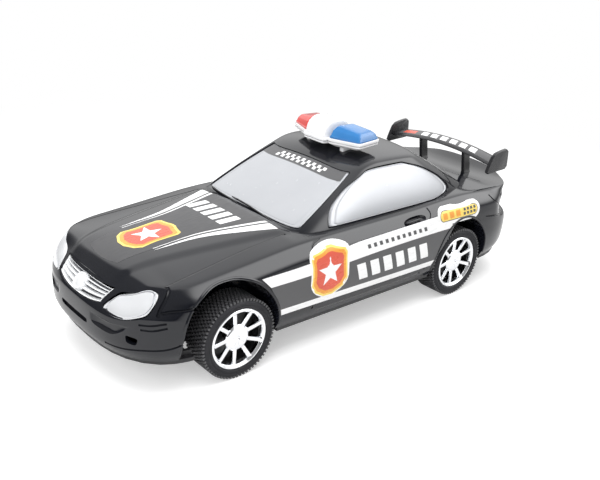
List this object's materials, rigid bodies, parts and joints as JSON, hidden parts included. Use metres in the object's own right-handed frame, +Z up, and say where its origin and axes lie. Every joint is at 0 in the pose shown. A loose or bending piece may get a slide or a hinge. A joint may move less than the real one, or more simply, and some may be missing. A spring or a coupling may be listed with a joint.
{
  "type": "toy police car",
  "caption": "Toy police coupe with a moulded shell, plated hubcaps, a two-colour light bar, a raised rear wing and a friction flywheel drive on the rear axle.",
  "frame": {"origin": "on the ground under the middle of the car's length and width", "axes": "+X forward to the nose, +Y to the car's left, +Z up"},
  "size_m": [0.284, 0.115, 0.1056],
  "materials": {
    "black_body": "gloss",
    "chassis_plastic": "satin",
    "gearbox_plastic": "satin",
    "window_silver": "satin",
    "plated_plastic": "polished",
    "red_lens": "gloss",
    "blue_lens": "gloss",
    "tyre_rubber": "matte",
    "wheel_core": "satin",
    "gear_plastic": "satin",
    "pinion_brass": "satin",
    "steel": "satin"
  },
  "bodies": {
    "car_body": {"body_shell": "black_body", "chassis": "chassis_plastic", "windscreen": "window_silver", "rear_window": "window_silver", "left_window": "window_silver", "right_window": "window_silver", "grille": "plated_plastic", "left_headlight": "plated_plastic", "right_headlight": "plated_plastic", "lightbar_tray": "plated_plastic", "lightbar_cover": "plated_plastic", "red_lens": "red_lens", "blue_lens": "blue_lens", "rear_wing": "black_body", "left_wing_post": "black_body", "right_wing_post": "black_body", "idler_shaft": "steel", "gearbox_left": "gearbox_plastic", "gearbox_right": "gearbox_plastic", "gearbox_screws": "steel", "chassis_screws": "steel"},
    "front_wheelset": {"front_axle": "steel", "front_left_wheel": "wheel_core", "front_left_tyre": "tyre_rubber", "front_left_hubcap": "plated_plastic", "front_right_wheel": "wheel_core", "front_right_tyre": "tyre_rubber", "front_right_hubcap": "plated_plastic"},
    "rear_wheelset": {"rear_axle": "steel", "rear_left_wheel": "wheel_core", "rear_left_tyre": "tyre_rubber", "rear_left_hubcap": "plated_plastic", "rear_right_wheel": "wheel_core", "rear_right_tyre": "tyre_rubber", "rear_right_hubcap": "plated_plastic", "drive_gear": "gear_plastic"},
    "idler": {"idler_gear": "gear_plastic"},
    "flywheel_set": {"flywheel": "steel", "flywheel_pinion": "pinion_brass", "flywheel_shaft": "steel"}
  },
  "joints": [
    {"name": "front_axle_spin", "type": "hinge", "parent": "car_body", "child": "front_wheelset", "pos_m": [0.084, 0, 0.021], "axis": [0, 1, 0], "continuous": true},
    {"name": "rear_axle_spin", "type": "hinge", "parent": "car_body", "child": "rear_wheelset", "pos_m": [-0.076, 0, 0.021], "axis": [0, 1, 0], "continuous": true},
    {"name": "idler_spin", "type": "hinge", "parent": "car_body", "child": "idler", "pos_m": [-0.06173, 0, 0.02766], "axis": [0, 1, 0], "continuous": true},
    {"name": "flywheel_spin", "type": "hinge", "parent": "car_body", "child": "flywheel_set", "pos_m": [-0.04745, 0, 0.021], "axis": [0, 1, 0], "continuous": true}
  ],
  "couplings": [
    {"joint": "idler_spin", "follows": "rear_axle_spin", "ratio": -2.5},
    {"joint": "flywheel_spin", "follows": "rear_axle_spin", "ratio": 6.25}
  ]
}
